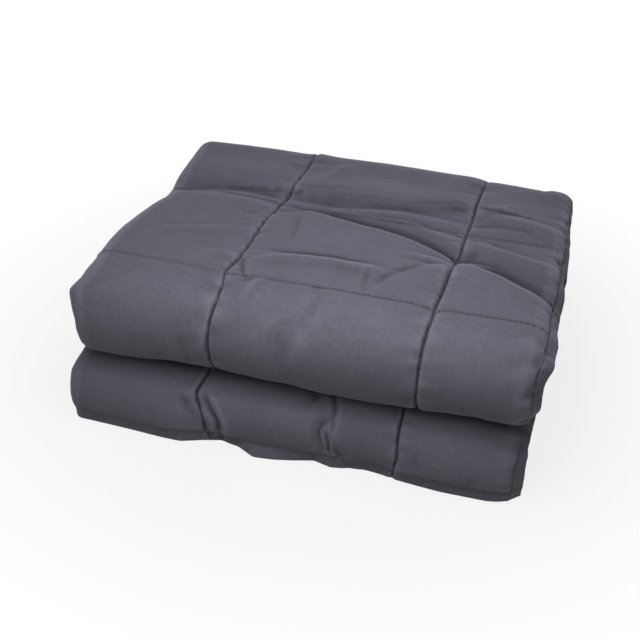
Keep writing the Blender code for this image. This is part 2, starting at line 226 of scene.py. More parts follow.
# Folds and wrinkles of the outer ply. Each runs from left to right through its points, which are
# X and along. height is negative for a trough, and left and right are the shares of it that are
# left at its ends. front and back are the widths of its two slopes. All are in millimetres.
Crease = namedtuple("Crease", "name height left right front back points")
CREASES = tuple(Crease(*row) for row in (
    # The valley of the second quilting line on the top, with the lips and pleats over it.
    ("rear lip of the left pillow", 2.0, 0.4, 0.8, 20, 2.6,
     ((-143, 497), (-131, 507), (-114, 512), (-97, 515), (-80, 517), (-62, 515))),
    ("front of the left back cell", 1.8, 0.6, 0.8, 8, 32,
     ((-140, 524), (-118, 528), (-93, 530), (-76, 533), (-57, 536))),
    ("short lip at the left seam", 1.0, 0.0, 0.8, 8, 2.2,
     ((-96, 508), (-78, 509), (-66, 507), (-57, 502))),
    ("rear lip of the middle pillow", 3.2, 0.3, 1.0, 24, 2.2,
     ((-51, 492), (-38, 502), (-26, 504), (-8, 498), (10, 494), (28, 492), (46, 487), (60, 481),
      (76, 476))),
    ("crevice behind the middle pillow", -2.4, 0.0, 1.0, 1.8, 4.5,
     ((5, 498), (28, 495), (46, 490), (60, 484), (77, 479))),
    ("broad pleat", 2.6, 0.0, 0.8, 9, 2.2,
     ((-37, 514), (-19, 516), (-2, 514), (14, 514), (38, 515), (53, 510), (66, 506), (76, 504))),
    ("pleat at the quilting line", 2.0, 0.7, 0.8, 6, 2.0,
     ((-52, 519), (-29, 519), (-6, 519), (20, 523), (38, 524), (62, 523), (76, 522))),
    ("front of the middle back cell", 3.4, 0.7, 1.0, 5, 32,
     ((-42, 534), (-22, 537), (-2, 537), (16, 537), (32, 538), (45, 542), (63, 548), (75, 547))),
    ("rear lip of the right pillow", 3.6, 0.8, 1.0, 24, 2.2,
     ((81, 461), (90, 461), (97, 459), (108, 456), (119, 451), (130, 447), (139, 444), (147, 442))),
    ("crevice behind the right pillow", -1.8, 0.3, 1.0, 2.0, 5.0,
     ((82, 464), (97, 462), (108, 459), (119, 454), (130, 450), (142, 446))),
    ("wide pleat on the right", 2.4, 0.7, 0.8, 14, 2.0,
     ((79, 502), (88, 503), (98, 499), (112, 494), (127, 489), (139, 489))),
    ("small pleat on the right", 1.3, 0.7, 0.3, 6, 2.0,
     ((80, 521), (92, 522), (107, 522), (118, 521))),
    ("long pleat on the right", 3.0, 0.5, 0.8, 8, 6,
     ((82, 537), (94, 536), (105, 535), (117, 534), (129, 531), (140, 527))),
    ("rear pleat on the right", 1.1, 0.5, 0.0, 5, 2.0,
     ((80, 541), (89, 545), (98, 551), (110, 558))),
    # Wrinkles on the pillows of the top.
    ("left wrinkle", 0.7, 0.0, 0.5, 5.0, 1.2,
     ((-128, 447), (-108, 455), (-86, 463), (-69, 467), (-56, 473))),
    ("left swell", 0.6, 0.0, 0.5, 3, 3, ((-76, 436), (-52, 439))),
    ("middle wrinkle", -0.9, 0.5, 0.2, 1.2, 3.0,
     ((-52, 450), (-30, 449), (-11, 450), (5, 450), (26, 449), (48, 449))),
    ("left ridge of the wrinkle", 1.3, 0.4, 0.5, 4, 1.2, ((-45, 436), (-33, 442), (-22, 445), (-10, 447))),
    ("right ridge of the wrinkle", 1.6, 0.5, 0.2, 4, 1.2, ((-11, 447), (16, 447), (41, 447))),
    ("pinch where the seam meets the line", -1.5, 0.7, 0.4, 1.3, 1.6, ((-53, 439), (-41, 416))),
    ("ridge below the line", 1.2, 0.4, 0.6, 2.4, 2.0, ((-38, 402), (-29, 416))),
    ("pinch below the line", -1.0, 0.5, 0.0, 1.5, 1.5, ((-46, 410), (-32, 415))),
    ("dimple below the line", -1.0, 0.8, 0.2, 3.6, 3.6, ((6, 417), (11, 405), (8, 394))),
    ("dimple above the line", -0.7, 0.4, 0.6, 1.5, 2.6, ((30, 441), (33, 422))),
    ("fan at the right seam", -1.1, 0.3, 0.8, 2.5, 6, ((36, 424), (46, 446), (72, 469))),
    ("swell of the back cell", 0.9, 0.6, 0.0, 7, 5, ((-39, 544), (-32, 563), (-22, 584))),
    ("fill of the middle back edge", 2.0, 1.0, 0.5, 22, 14, ((-49, 584), (0, 588), (60, 586), (74, 584))),
    ("fill of the left back edge", 0.8, 0.6, 0.6, 20, 14, ((-132, 586), (-100, 588), (-62, 586))),
    ("fill of the right back edge", 1.2, 0.0, 1.0, 12, 12, ((118, 586), (140, 587))),
    # The front of the upper roll.
    ("fill under the middle roll", 2.0, 0.2, 0.9, 9, 12, ((-12, 357), (20, 357), (50, 357), (76, 358))),
    ("fill under the left roll", 1.2, 0.8, 0.3, 9, 12, ((-134, 358), (-110, 357), (-80, 357))),
    ("dimple of the middle roll", -1.2, 0.2, 0.6, 8, 6, ((-11, 394), (1, 374))),
    ("swell of the middle roll", 1.0, 0.4, 0.2, 6, 6, ((1, 374), (12, 392))),
    ("dimple of the left roll", -0.9, 0.2, 0.8, 3, 3, ((-74, 381), (-69, 368))),
    ("dimple of the right roll", -0.9, 0.2, 0.6, 4, 4, ((104, 371), (112, 360))),
    # The lower roll, with its hem.
    ("deep fold at the left seam", -3.4, 0.5, 1.0, 1.3, 1.6,
     ((-49, 29), (-46, 23), (-44, 17), (-46, 8), (-47, 1))),
    ("flap beside the deep fold", 1.9, 0.2, 0.6, 2.5, 4, ((-46, 31), (-42, 25), (-40, 18), (-41, 9))),
    ("dimple of the lower left", -1.3, 0.3, 0.2, 5, 5, ((-67, 21), (-61, 28))),
    ("swell beside the middle fold", 0.9, 0.2, 0.6, 8, 8, ((-20, 25), (14, 25))),
    ("middle fold", -3.2, 0.6, 0.6, 3.6, 1.2, ((26, 30), (21, 26), (20, 22), (23, 15))),
    ("line over the middle fold", -1.9, 0.8, 0.6, 1.1, 1.3, ((23, 43), (28, 35), (29, 27))),
    ("line under the middle fold", -2.4, 0.3, 1.0, 1.1, 1.4, ((23, 25), (26, 20), (27, 14))),
    ("flap beside the middle fold", 1.9, 0.5, 0.5, 3, 6, ((33, 41), (33, 30), (32, 22), (33, 13))),
    ("pocket under the upper roll", -1.6, 0.8, 0.4, 3.5, 4, ((9, 42), (16, 35))),
    ("pleat in the hem", -3.0, 0.5, 1.0, 1.3, 2.6, ((32, 17), (37, 8), (43, 0))),
    ("dimple of the lower right", -1.0, 0.3, 0.5, 5, 5, ((86, 25), (89, 14))),
    ("dimple near the lower corner", -0.8, 0.3, 0.5, 6, 6, ((116, 18), (120, 9))),
    # Pits of the stitches on the right end.
    ("pit behind the pillow", -2.4, 0.8, 0.8, 1.4, 1.4, ((139, 501), (145, 502))),
    ("upper pit of the roll", -1.8, 0.8, 0.8, 1.2, 1.2, ((138, 404), (144, 405))),
    ("middle pit of the roll", -2.4, 0.8, 0.8, 1.2, 1.2, ((138, 380), (145, 381))),
    ("lower pit of the roll", -2.0, 0.8, 0.8, 1.4, 1.4, ((138, 363), (145, 363))),
))

# The valleys behind the pillows, where the whole ply sinks into the plies below it.
VALLEYS = tuple(Crease(*row) for row in (
    ("behind the left pillow", -2.6, 1.0, 0.7, 9, 15,
     ((-150, 506), (-131, 516), (-114, 520), (-97, 523), (-80, 524), (-56, 522))),
    ("behind the middle pillow", -4.2, 0.5, 1.0, 3.0, 17,
     ((-52, 499), (-38, 509), (-26, 511), (-8, 505), (10, 501), (28, 499), (46, 494), (60, 488),
      (78, 483))),
    ("behind the right pillow", -4.6, 1.0, 1.0, 3.0, 22,
     ((80, 470), (90, 470), (97, 468), (108, 465), (119, 460), (130, 456), (139, 453), (147, 451))),
))
LOWEST_FACE = 0.0034

# Painted shade where the light hardly reaches: between the two rolls, and behind the lips of the
# top where the cloth comes into sight again. height is the share of the painted shade. Less than
# nothing is painted light, as over the front of the lower roll.
MIDDLE_CREVICE = (
    (-38, 511), (-26, 515), (-8, 511), (10, 507), (28, 505), (46, 500), (60, 493), (76, 483),
)
RIGHT_CREVICE = (
    (81, 482), (90, 479), (97, 476), (108, 472), (119, 466), (130, 461), (139, 455), (147, 446),
)
SHADED = tuple(Crease(*row) for row in (
    ("painted light on the lower roll", -0.34, 1.0, 1.0, 13, 9, ((-170, 30), (170, 30))),
    ("between the rolls, below", 0.85, 1.0, 1.0, 2.2, 3, ((-170, 43), (170, 43))),
    ("between the rolls, above", 0.75, 1.0, 1.0, 7.5, 7.5, ((-170, 355), (170, 355))),
    ("crevice of the middle pillow", 0.60, 0.2, 1.0, 6, 2.4, MIDDLE_CREVICE),
    ("riser of the middle pillow", 0.16, 0.6, 1.0, 8, 9, MIDDLE_CREVICE),
    ("crevice of the right pillow", 0.40, 0.2, 1.0, 6, 2.6, RIGHT_CREVICE),
    ("riser of the right pillow", 0.40, 0.3, 1.0, 8, 18, RIGHT_CREVICE),
    ("line under the middle back cell", 0.35, 0.5, 1.0, 2.6, 1.0,
     ((-42, 533), (-22, 536), (-2, 536), (16, 536), (32, 537), (45, 541), (63, 547), (75, 546))),
    ("line under the left back cell", 0.15, 0.5, 1.0, 2.6, 1.0,
     ((-140, 522), (-118, 526), (-93, 528), (-76, 531), (-57, 534))),
))

# Round the back fold the cloth is pulled taut, so its seams hardly dip there.
TAUT_FROM = 0.560
TAUT_TO = 0.582
TAUTNESS = 0.8

# All creases: how many millimetres their crests are rounded by, the form of their slopes, how many
# widths they reach, over what share of their length each end tapers, and what is left at a seam.
MILLIMETRE = 0.001
CREST_ROUNDING = 0.6
CREASE_FORM = 1.4
CREASE_REACH = 3.5
CREASE_TAPER = 0.35
CREASES_AT_SEAMS = 0.25

# Where the relief of the outer ply starts and ends to fade, as shares of the turn on its left.
RELIEF_FADES = (0.15, 0.75)

# How far a crest stands out before it gets a painted highlight, and the width at the end hem
# that is left without painted shade.
CREST_HIGHLIGHT_STARTS = 0.25
HEM_WITHOUT_PAINTED_SHADE = 0.003

# The corners on a side of the lattice of random heights.
LATTICE = 101

# Smoothing of the grid: its rounds, the share of each, and the distances from the seams and from
# the stitched lines over which it sets in.
SOFTENING_ROUNDS = 3
SOFTENING = 0.5
SOFT_FROM_SEAMS = (0.0010, 0.0030)
SOFT_FROM_LINES = (0.0008, 0.0024)

# Spacing of the rows of corners, as shares of the fine step: beside a line along the width, and on
# the lower front, where it grows past the hem and again into the roll. Each share eases off over
# the distances named with it. Round a turn a row is this share of the radius, at most.
LINE_ROWS, LINE_ROWS_GAIN, LINE_EASE = 0.5, 0.5, (0.001, 0.004)
FRONT_ROWS, FRONT_ROWS_GAIN = 0.4, 0.3
HEM_EASE, ROLL_EASE = (0.000, 0.004), (0.042, 0.056)
TURN_ROW = 0.28
CLOSEST_ROWS, CLOSEST_COLUMNS = 0.0005, 0.0004

# The same for the columns: beside a seam, at the middle fold of the lower roll, and at the side hem.
SEAM_COLUMNS, SEAM_COLUMNS_GAIN, SEAM_EASE = 0.32, 0.68, (0.0008, 0.004)
MIDDLE_FOLD_LOSS, MIDDLE_FOLD_EASE = 0.4, (0.014, 0.008)
SIDE_COLUMNS, SIDE_EASE = 0.4, 0.006

# Spacing of the corners over the width of the hidden plies, how much wider it gets away from their
# ends and over what distance, and its spacing round the folds on the left and the right.
HIDDEN_COLUMN = 0.0025
HIDDEN_COLUMN_GAIN = 0.016
HIDDEN_COLUMN_EASE = (0.004, 0.040)
LEFT_TURN_COLUMN = 0.0018
RIGHT_TURN_COLUMN = 0.0013

# How freely the hidden parts are thinned, which is less near the two folds that show at the ends.
THINNED_LESS = 0.3
THINNED = 1.0
NEAR_LEFT_TURN = 0.008
NEAR_RIGHT_TURN = 0.006

# Hollows of the cloth, darkened with painted shade, and crests, lit with a painted highlight:
# rounds of smoothing that they are measured against, and the depth of a full one. The rounds
# go from few to many.
Hollow = namedtuple("Hollow", "name rounds depth")
HOLLOWS = (
    Hollow(name="fold", rounds=6, depth=0.00035),
    Hollow(name="dip", rounds=24, depth=0.0010),
    Hollow(name="hollow", rounds=70, depth=0.0018),
)


def column(table, name):
    return np.array([getattr(row, name) for row in table], dtype=float)


def read(table, by, places, name):
    """Read a column of a table between its rows, by the places in another column."""
    return np.interp(places, column(table, by), column(table, name))


def smooth(low, high, value):
    share = np.clip((value - low) / (high - low), 0.0, 1.0)
    return share * share * (3 - 2 * share)


def nearest(places, lines):
    return np.min([np.abs(places - line) for line in lines], axis=0)


def soft_noise(first, second, size, seed):
    """Smooth random heights from -1 to 1, on a lattice of the given size."""
    lattice = np.random.RandomState(seed).uniform(-1, 1, (LATTICE, LATTICE))
    first, second = np.broadcast_arrays(first / size, second / size)
    row, place = np.floor(first).astype(int), np.floor(second).astype(int)
    down, over = (smooth(0, 1, value - np.floor(value)) for value in (first, second))

    def corner(i, j):
        return lattice[(row + i) % LATTICE, (place + j) % LATTICE]

    near = corner(0, 0) * (1 - over) + corner(0, 1) * over
    far = corner(1, 0) * (1 - over) + corner(1, 1) * over
    return near * (1 - down) + far * down


# ---- the route of the folded strip

Leg = namedtuple("Leg", "start length y z heading turn")


def leg_point(leg, distance):
    """Place and heading on the centre line, a distance along one leg of the route."""
    if leg.turn == 0.0:
        y = leg.y + distance * math.cos(leg.heading)
        z = leg.z + distance * math.sin(leg.heading)
        return y, z, np.full(np.shape(distance), leg.heading)
    radius = leg.length / leg.turn
    heading = leg.heading + distance / radius
    y = leg.y + radius * (np.sin(heading) - math.sin(leg.heading))
    z = leg.z - radius * (np.cos(heading) - math.cos(leg.heading))
    return y, z, heading


def add_leg(legs, length, turn=0.0):
    """Continue the route from its end, straight or round an arc that turns by an angle."""
    last = legs[-1]
    y, z, heading = leg_point(last, last.length)
    legs.append(Leg(last.start + last.length, length, float(y), float(z), float(heading), turn))


def route():
    """The legs of the strip's centre line, and the ply pitch at places along them."""
    first = PASSES[FIRST_PASS].height
    turn_height = (PASSES[0].height + PASSES[1].height) / 2
    front_radius = first - turn_height
    climb = turn_height - HEM_HEIGHT
    legs = [Leg(0.0, climb, LOWER_FRONT, HEM_HEIGHT, math.pi / 2, 0.0)]
    add_leg(legs, front_radius * math.pi / 2, -math.pi / 2)
    pitches = [(0.0, PASSES[FIRST_PASS].ply_pitch)]
    here = FIRST_PASS
    for fold in FOLDS:
        rise = PASSES[fold.to_pass].height - PASSES[here].height
        corner = fold.corner or abs(rise) / 2
        y, _, heading = leg_point(legs[-1], legs[-1].length)
        forward = math.copysign(1.0, math.cos(heading))
        run = abs(fold.reach - forward * corner - y)
        add_leg(legs, run)
        pitches.append((legs[-1].start + run, PASSES[here].ply_pitch))
        quarter = math.copysign(math.pi / 2, rise * forward)
        add_leg(legs, corner * math.pi / 2, quarter)
        if abs(rise) > 2 * corner:
            add_leg(legs, abs(rise) - 2 * corner)
        add_leg(legs, corner * math.pi / 2, quarter)
        here = fold.to_pass
        pitches.append((legs[-1].start + legs[-1].length, PASSES[here].ply_pitch))
    add_leg(legs, LAST_RUN)
    return legs, pitches


LEGS, PITCHES = route()
ROUTE_LENGTH = LEGS[-1].start + LEGS[-1].length


def route_at(along):
    """Centre line place and heading, for an array of lengths along the strip."""
    y, z, heading = (np.zeros_like(along) for _ in range(3))
    for leg in LEGS:
        on_leg = along >= leg.start - 1e-9
        inside = np.clip(along[on_leg] - leg.start, 0.0, leg.length)
        y[on_leg], z[on_leg], heading[on_leg] = leg_point(leg, inside)
    return y, z, heading


def pitch_at(along):
    starts, values = zip(*PITCHES)
    return np.interp(along, starts, values)


# ---- the plies across the strip

FOLD_PITCH = PASSES[FIRST_PASS].ply_pitch
LEFT_TURN = math.pi * FOLD_PITCH
RIGHT_TURN = math.pi * FOLD_PITCH / 2
OUTER_END = OUTER_HEM - LEFT_FOLD
INNER_START = OUTER_END + LEFT_TURN
INNER_END = INNER_START + RIGHT_FOLD - LEFT_FOLD
MIDDLE_START = INNER_END + RIGHT_TURN
SHEET_WIDTH = MIDDLE_START + RIGHT_FOLD - INNER_HEM


def ply_section(along, across, pitch):
    """X and height off the centre line of the sheet's middle, and the way its outer face looks."""
    left = np.clip((across - OUTER_END) / LEFT_TURN, 0, 1) * math.pi
    right = np.clip((across - INNER_END) / RIGHT_TURN, 0, 1) * math.pi
    over, down = np.abs(np.cos(left)), np.sin(left)
    square = (over**SQUARENESS + down**SQUARENESS) ** (-1 / SQUARENESS)
    x = LEFT_FOLD - pitch * square * down + np.clip(across - INNER_START, 0, INNER_END - INNER_START)
    x += 0.5 * pitch * np.sin(right) - np.clip(across - MIDDLE_START, 0, None)
    out = pitch * (square * np.cos(left) + 0.5 * (1 - np.cos(right)))
    outer = across < OUTER_END
    bend = np.radians(np.maximum(read(UNEVEN, "along", along, "hem_turn"), 1.0))
    arc = HEM_TURN_STARTS - HEM_TURN_ENDS
    past = np.clip(HEM_TURN_STARTS - across, 0, arc)
    angle = bend * past / arc
    tail = np.clip(HEM_TURN_ENDS - across, 0, None)
    reach = OUTER_HEM - np.maximum(across, HEM_TURN_STARTS)
    reach = reach + arc / bend * np.sin(angle) + tail * np.cos(angle)
    x = np.where(outer, reach, x)
    out = np.where(outer, out - arc / bend * (1 - np.cos(angle)) - tail * np.sin(angle), out)
    turned = right - np.where(outer, angle, 0)
    turned += np.arctan2(down ** (SQUARENESS - 1), np.sign(np.cos(left)) * over ** (SQUARENESS - 1))
    return x, out, -np.sin(turned), np.cos(turned)


def uneven_x(along, x):
    """How far the uneven ends and the swaying seams move a point along X."""
    left = read(UNEVEN, "along", along, "left") * np.clip(1 - (x - LEFT_FOLD) / END_FADE, 0, 1)
    right = read(UNEVEN, "along", along, "right") * np.clip(1 - (OUTER_HEM - x) / END_FADE, 0, 1)
    shift = left + right
    for line, name in zip(SEAMS_ACROSS, ("sway_right", "sway_left")):
        gap = np.abs(x - (OUTER_HEM - line))
        shift = shift + read(UNEVEN, "along", along, name) * smooth(SWAY_FADE, 0, gap)
    return shift


def skew(x, y, z):
    """How far the front of the bundle moves along Y."""
    share = np.clip((y - ASKEW_FROM) / (ASKEW_TO - ASKEW_FROM), 0, 1)
    left, right = (read(ASKEW, "height", z, name) for name in ("left", "right"))
    return share * (left + (right - left) * (x - LEFT_FOLD) / (OUTER_HEM - LEFT_FOLD))


def hem_swing(along, x):
    """How far the end hem and the cloth above it swing forward."""
    forward, rise = (read(HEM_SWINGS, "x", x, name) for name in ("forward", "rise"))
    return forward * smooth(1.0, 0.0, along / rise)


def shown_share(along, fade=0.006):
    """1 on the stretches of the outer ply that show, and 0 on the hidden ones."""
    return np.max([
        smooth(low - fade, low, along) * smooth(high + fade, high, along) for low, high in SHOWN
    ], axis=0)


# ---- thickness and relief

def looseness(along):
    """1 where the seams may sink in, and less where the cloth is taut."""
    return 1 - TAUTNESS * smooth(TAUT_FROM, TAUT_TO, along)


def filled_share(along, across, settings):
    """0 at a quilting line, and 1 where the filling is whole."""
    uneven = CHANNEL_WAVE.height * soft_noise(along, across, CHANNEL_WAVE.size, CHANNEL_WAVE.seed)
    channel = settings.channel_width * (1 + uneven)
    share = 1 - np.exp(-(nearest(across, SEAMS_ACROSS) / channel) ** CHANNEL_FORM)
    sides = np.maximum(np.minimum(across, SHEET_WIDTH - across) - HEM_WIDTH, 0)
    share = share * (1 - np.exp(-(sides / SIDE_CHANNEL)))
    in_left_cells = smooth(SEAMS_ACROSS[1] - FADE_WIDTH, SEAMS_ACROSS[1], across)
    for place, line in zip(SEAMS_ALONG, LINES):
        depth = line.depth * (1 - line.fades * in_left_cells)
        share = share * (1 - depth * np.exp(-np.abs(along - place) / line.channel))
    share = 1 - (1 - share) * looseness(along)
    ends = np.minimum(along, ROUTE_LENGTH - along) - HEM_WIDTH
    return share * (1 - np.exp(-np.maximum(ends, 0) / settings.channel_width))


def sheet_thickness(along, across, pitch, settings):
    """Full between the seams, thin at the quilting lines and hems, and rounded at the edges."""
    share = filled_share(along, across, settings)
    thickness = SEAM_THICKNESS + (pitch - PLY_GAP - SEAM_THICKNESS) * share
    edge = np.minimum(
        np.minimum(across, SHEET_WIDTH - across), np.minimum(along, ROUTE_LENGTH - along)
    )
    hem = HEM_THICKNESS * np.sqrt(np.clip(edge / EDGE_ROUNDING, THINNEST_EDGE, 1))
    return np.where(edge < HEM_WIDTH, hem, thickness), share


def dome(across):
    """The shape of a filled cell from seam to seam: 0 at its sides and 1 in its middle."""
    lines = np.concatenate([[HEM_WIDTH], SEAMS_ACROSS])
    index = np.clip(np.searchsorted(lines, across) - 1, 0, len(lines) - 2)
    share = np.clip((across - lines[index]) / (lines[index + 1] - lines[index]), 0, 1)
    return (4 * share * (1 - share)) ** DOME_FORM


def puckers(along, across, settings):
    """Short ripples where a line of stitches draws the cloth in."""
    ripple = np.zeros(np.broadcast(along, across).shape)
    lines = np.append(SEAMS_ACROSS[:2], HEM_WIDTH)
    for index, line in enumerate(lines):
        gap = across - line
        size = settings.pucker_size
        row = (np.where(gap > 0, *PUCKER_ROWS) + PUCKER_ROWS_APART * index) * size
        wave = soft_noise(along + PUCKER_SLANT * gap, row, size, PUCKER_SEED)
        small = soft_noise(along, row, size * SMALL_PUCKERS.size, SMALL_PUCKERS.seed)
        wave = wave + SMALL_PUCKERS.height * small
        gap = np.abs(gap)
        ripple += wave * np.exp(-gap / settings.pucker_reach) * (1 - np.exp(-gap / PUCKER_STARTS))
    return ripple * settings.pucker_height


def curve_points(points, steps=10):
    """A smooth curve through points, as short straight pieces."""
    points = np.array(points, dtype=float)
    ends = np.vstack([2 * points[0] - points[1], points, 2 * points[-1] - points[-2]])
    share = np.linspace(0, 1, steps, endpoint=False)[:, None]
    pieces = []
    for before, start, end, after in zip(ends, ends[1:], ends[2:], ends[3:]):
        slope = (end - before) / 2
        bend = before - 2.5 * start + 2 * end - after / 2
        twist = (after - before) / 2 + 1.5 * (start - end)
        pieces.append(start + slope * share + bend * share**2 + twist * share**3)
    return np.vstack(pieces + [points[-1:]])


def crease_height(crease, x, along):
    """The height of one crease at points of the outer ply."""
    curve = curve_points(crease.points)
    best = np.full(x.shape, np.inf)
    side, share = np.zeros(x.shape), np.zeros(x.shape)
    for index, (start, end) in enumerate(zip(curve, curve[1:])):
        step = end - start
        part = ((x - start[0]) * step[0] + (along - start[1]) * step[1]) / (step @ step)
        part = np.clip(part, 0, 1)
        off_x, off_along = x - start[0] - part * step[0], along - start[1] - part * step[1]
        gap = np.hypot(off_x, off_along)
        closer = gap < best
        best = np.where(closer, gap, best)
        side = np.where(closer, step[0] * off_along - step[1] * off_x, side)
        share = np.where(closer, (index + part) / (len(curve) - 1), share)
    rounded = np.sqrt(best**2 + CREST_ROUNDING**2) - CREST_ROUNDING
    width = np.where(side > 0, crease.back, crease.front)
    taper = crease.left + (1 - crease.left) * smooth(0.0, CREASE_TAPER, share)
    taper = taper * (crease.right + (1 - crease.right) * smooth(1.0, 1 - CREASE_TAPER, share))
    return crease.height * taper * np.exp(-(rounded / width) ** CREASE_FORM)


def creases(along, x, table=CREASES):
    """All folds and wrinkles of a table together, at points of the outer ply."""
    along, x = along / MILLIMETRE, x / MILLIMETRE
    height = np.zeros(x.shape)
    for crease in table:
        places = np.array(crease.points)
        reach = CREASE_REACH * max(crease.front, crease.back)
        low, high = places.min(0) - reach, places.max(0) + reach
        near = (x > low[0]) & (x < high[0]) & (along > low[1]) & (along < high[1])
        if near.any():
            height[near] += crease_height(crease, x[near], along[near])
    return height * MILLIMETRE


def outer_share(across):
    """1 on the outer ply, fading out round the fold on its left."""
    start, end = (OUTER_END + share * LEFT_TURN for share in RELIEF_FADES)
    return smooth(end, start, across)


def relief(along, across, x, share, settings):
    """How far the outer face of the outer ply stands off its plain thickness."""
    over = nearest(across, SEAMS_ACROSS)
    height = read(UNEVEN, "along", along, "crown") * dome(across) * share
    for wave in WAVES:
        height = height + wave.height * soft_noise(along, across, wave.size, wave.seed) * share
    height = height + puckers(along, across, settings)
    faded = CREASES_AT_SEAMS + (1 - CREASES_AT_SEAMS) * share
    height = height + settings.crease_scale * creases(along, x) * faded
    groove = THREAD_GROOVE * looseness(along)
    return height - groove * np.exp(-((over / THREAD_GROOVE_WIDTH) ** 2))


def face(along, across, settings, outward=1.0):
    """Points of the outer face of the sheet, or with outward -1 of its inner face."""
    along, across = (np.array(a) for a in np.broadcast_arrays(along, across))
    y, z, heading = route_at(along)
    pitch = pitch_at(along)
    x, out, side, up = ply_section(along, across, pitch)
    thickness, share = sheet_thickness(along, across, pitch, settings)
    outer = outer_share(across) * shown_share(along)
    sunk = creases(along, x, VALLEYS) * outer
    off = thickness / 2
    if outward > 0:
        off = off + relief(along, across, x, share, settings) * outer
        flat = (across > HEM_TURN_STARTS) & (across < OUTER_END) & (outer > 0.5)
        off = np.where(flat, np.maximum(off, LOWEST_FACE - out - sunk), off)
    out = out + sunk
    x = x + uneven_x(along, x) + outward * side * off
    out = out + outward * up * off
    y, z = y - out * np.sin(heading), z + out * np.cos(heading)
    y = y + skew(x, y, z) - hem_swing(along, x)
    z = np.maximum(z, 0.0)
    return np.stack([x - ROUTE_MIDDLE[0], y - ROUTE_MIDDLE[1], z], axis=-1)


# ---- the grid of corners

def graded(breaks, step):
    """Places from the first break to the last, through each of them, spaced by a step function."""
    places = [breaks[0]]
    for start, end in zip(breaks, breaks[1:]):
        fine = np.linspace(start, end, 200)
        middle = (fine[1:] + fine[:-1]) / 2
        load = np.concatenate([[0.0], np.cumsum(np.diff(fine) / step(middle))])
        count = max(1, math.ceil(load[-1]))
        places += list(np.interp(np.linspace(0, load[-1], count + 1)[1:], load, fine))
    return np.array(places)


def merged(breaks, closest):
    chosen = []
    for place in sorted(breaks):
        if not chosen or place - chosen[-1] > closest:
            chosen.append(place)
    return chosen


def rows_along(settings):
    """Places of the corners along the strip, close where the outer ply shows."""
    def step(along):
        beside = smooth(*LINE_EASE, nearest(along, SEAMS_ALONG))
        past_hem, past_roll = smooth(*HEM_EASE, along), smooth(*ROLL_EASE, along)
        fine = settings.fine_step * (LINE_ROWS + LINE_ROWS_GAIN * beside)
        fine = fine * (FRONT_ROWS + FRONT_ROWS_GAIN * past_hem + FRONT_ROWS_GAIN * past_roll)
        fine = fine * (1 + smooth(*BACK_FACE, along))
        hidden = np.full_like(along, settings.hidden_step)
        for leg in LEGS:
            if leg.turn:
                on_leg = (along > leg.start) & (along < leg.start + leg.length)
                hidden[on_leg] = min(settings.hidden_step, abs(leg.length / leg.turn) * TURN_ROW)
        shown = shown_share(along)
        return shown * fine + (1 - shown) * hidden

    breaks = [0.0, HEM_WIDTH, ROUTE_LENGTH - HEM_WIDTH, ROUTE_LENGTH]
    breaks += list(SEAMS_ALONG) + [leg.start for leg in LEGS]
    breaks += [place for stretch in SHOWN for place in stretch]
    return graded(merged([b for b in breaks if b <= ROUTE_LENGTH], CLOSEST_ROWS), step)


def columns_across(settings):
    """Places of the corners over the width, close on the outer ply."""
    ends = [0.0, OUTER_END, INNER_START, INNER_END, MIDDLE_START, SHEET_WIDTH]

    def step(across):
        beside = smooth(*SEAM_EASE, nearest(across, np.append(SEAMS_ACROSS, HEM_WIDTH)))
        at_fold = smooth(*MIDDLE_FOLD_EASE, np.abs(across - MIDDLE_FOLD))
        fine = settings.fine_step * (SEAM_COLUMNS + SEAM_COLUMNS_GAIN * beside)
        fine = fine * (1 - MIDDLE_FOLD_LOSS * at_fold)
        fine = np.minimum(fine, settings.fine_step * (SIDE_COLUMNS + across / SIDE_EASE))
        inward = smooth(*HIDDEN_COLUMN_EASE, nearest(across, ends))
        hidden = HIDDEN_COLUMN + HIDDEN_COLUMN_GAIN * inward
        in_left = (across > OUTER_END) & (across < INNER_START)
        in_right = (across > INNER_END) & (across < MIDDLE_START)
        hidden = np.where(in_right, RIGHT_TURN_COLUMN, hidden)
        hidden = np.where(in_left, LEFT_TURN_COLUMN, hidden)
        return np.where(across < OUTER_END, fine, hidden)

    seams = [seam for seam in SEAMS_ACROSS if seam < SHEET_WIDTH]
    breaks = ends + seams + [HEM_WIDTH, SHEET_WIDTH - HEM_WIDTH]
    return graded(merged(breaks, CLOSEST_COLUMNS), step)


def closed_sheet(name, outer, inner, flat):
    """A closed mesh from two grids of corners of the same shape, with its flat place as UVs."""
    height, width = outer.shape[:2]
    index = np.arange(height * width).reshape(height, width)
    under = index + height * width

    def quads(grid):
        return np.stack([grid[:-1, :-1], grid[:-1, 1:], grid[1:, 1:], grid[1:, :-1]], -1).reshape(-1, 4)

    def rim(top, bottom):
        return np.stack([top[:-1], bottom[:-1], bottom[1:], top[1:]], -1)

    faces = np.vstack([
        quads(index)[:, ::-1],
        quads(under),
        rim(index[0], under[0])[:, ::-1],
        rim(index[-1], under[-1]),
        rim(index[:, 0], under[:, 0]),
        rim(index[:, -1], under[:, -1])[:, ::-1],
    ])
    corners = np.vstack([outer.reshape(-1, 3), inner.reshape(-1, 3)])
    mesh = bpy.data.meshes.new(name)
    mesh.vertices.add(len(corners))
    mesh.vertices.foreach_set("co", corners.ravel())
    mesh.loops.add(faces.size)
    mesh.loops.foreach_set("vertex_index", faces.ravel())
    mesh.polygons.add(len(faces))
    mesh.polygons.foreach_set("loop_start", np.arange(0, faces.size, 4))
    mesh.update(calc_edges=True)
    uv = mesh.uv_layers.new(name="flat")
    places = np.vstack([flat.reshape(-1, 2)] * 2)
    uv.data.foreach_set("uv", places[faces.ravel()].ravel())
    mesh.shade_smooth()
    return mesh


